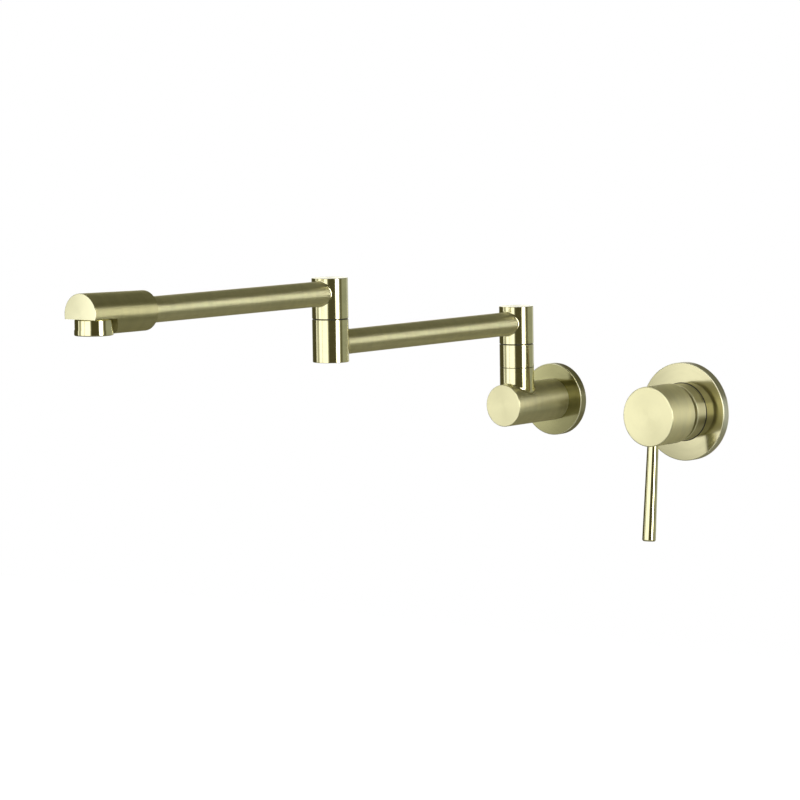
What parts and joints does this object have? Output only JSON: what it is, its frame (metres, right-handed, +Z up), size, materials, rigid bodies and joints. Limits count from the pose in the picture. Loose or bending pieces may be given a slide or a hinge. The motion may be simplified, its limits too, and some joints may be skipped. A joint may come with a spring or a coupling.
{
  "type": "wall mounted pot filler",
  "caption": "Wall-mounted pot filler: a folding jointed spout that swivels on posts, and a separate round single-lever mixer on a concealed valve.",
  "frame": {"origin": "centre of the spout's wall flange, on the wall's surface", "axes": "+X to the right along the wall towards the mixer, +Y into the wall, +Z up; the arms rest straight out along -Y"},
  "size_m": [0.2007, 0.612, 0.2265],
  "materials": {
    "brushed_brass": "pale gold, brushed round every turned face",
    "polished_brass": "pale gold, mirror polished",
    "raw_brass": "machined, unplated",
    "black_rubber": "smooth matt",
    "grey_foam": "closed-cell foam",
    "white_plastic": "moulded acetal",
    "dark_plastic": "moulded, satin",
    "cartridge_plastic": "moulded, satin",
    "ceramic": "lapped alumina",
    "stainless_steel": "satin"
  },
  "bodies": {
    "wall_parts": {"wall_flange": "brushed_brass", "spout_body": "brushed_brass", "flange_seal": "grey_foam", "flange_o_ring": "black_rubber", "inlet_strainer": "white_plastic", "swivel_collar": "brushed_brass", "base_spindle": "raw_brass", "base_o_rings": "black_rubber", "base_bearing_washer": "dark_plastic", "base_clip": "stainless_steel", "cover_plate": "brushed_brass", "plate_seal": "grey_foam", "plate_o_ring": "black_rubber", "mixer_sleeve": "brushed_brass", "valve_body": "raw_brass", "way_seals": "black_rubber", "cartridge_base": "dark_plastic", "fixed_disc": "ceramic", "cartridge_housing": "cartridge_plastic", "cartridge_nut": "raw_brass"},
    "arm_1": {"base_housing": "brushed_brass", "base_cap": "brushed_brass", "base_thrust_washer": "stainless_steel", "arm_1_tube": "brushed_brass", "elbow_lower_housing": "brushed_brass", "elbow_spindle": "raw_brass", "elbow_o_rings": "black_rubber", "elbow_bearing_washer": "dark_plastic", "elbow_clip": "stainless_steel"},
    "arm_2": {"elbow_upper_housing": "brushed_brass", "elbow_cap": "brushed_brass", "elbow_thrust_washer": "stainless_steel", "arm_2_tube": "brushed_brass", "spout_head": "brushed_brass", "aerator_housing": "polished_brass", "aerator_gasket": "black_rubber", "aerator_insert": "white_plastic", "aerator_screen": "stainless_steel"},
    "rotor": {"cartridge_rotor": "cartridge_plastic", "pivot_pin": "stainless_steel"},
    "disc": {"disc_carrier": "dark_plastic", "sliding_disc": "ceramic"},
    "handle": {"handle_cap": "brushed_brass", "lever_rod": "brushed_brass", "cartridge_stem": "stainless_steel", "handle_grub_screw": "stainless_steel"}
  },
  "joints": [
    {"name": "base_swivel", "type": "hinge", "parent": "wall_parts", "child": "arm_1", "pos_m": [0, -0.0554, 0.0668], "axis": [0, 0, 1], "range_deg": [-90, 90]},
    {"name": "elbow_swivel", "type": "hinge", "parent": "arm_1", "child": "arm_2", "pos_m": [0, -0.2939, 0.1056], "axis": [0, 0, 1], "range_deg": [-180, 180]},
    {"name": "temperature_turn", "type": "hinge", "parent": "wall_parts", "child": "rotor", "pos_m": [0.131, -0.027, -0.0041], "axis": [0, -1, 0], "range_deg": [-45, 45]},
    {"name": "flow_lift", "type": "hinge", "parent": "rotor", "child": "handle", "pos_m": [0.131, -0.027, -0.0041], "axis": [-1, 0, 0], "range_deg": [0, 12]},
    {"name": "disc_slide", "type": "slide", "parent": "rotor", "child": "disc", "axis": [0, 0, -1], "range_m": [0, 0.0032]}
  ],
  "couplings": [
    {"joint": "disc_slide", "follows": "flow_lift", "m_per_rad": 0.015}
  ]
}
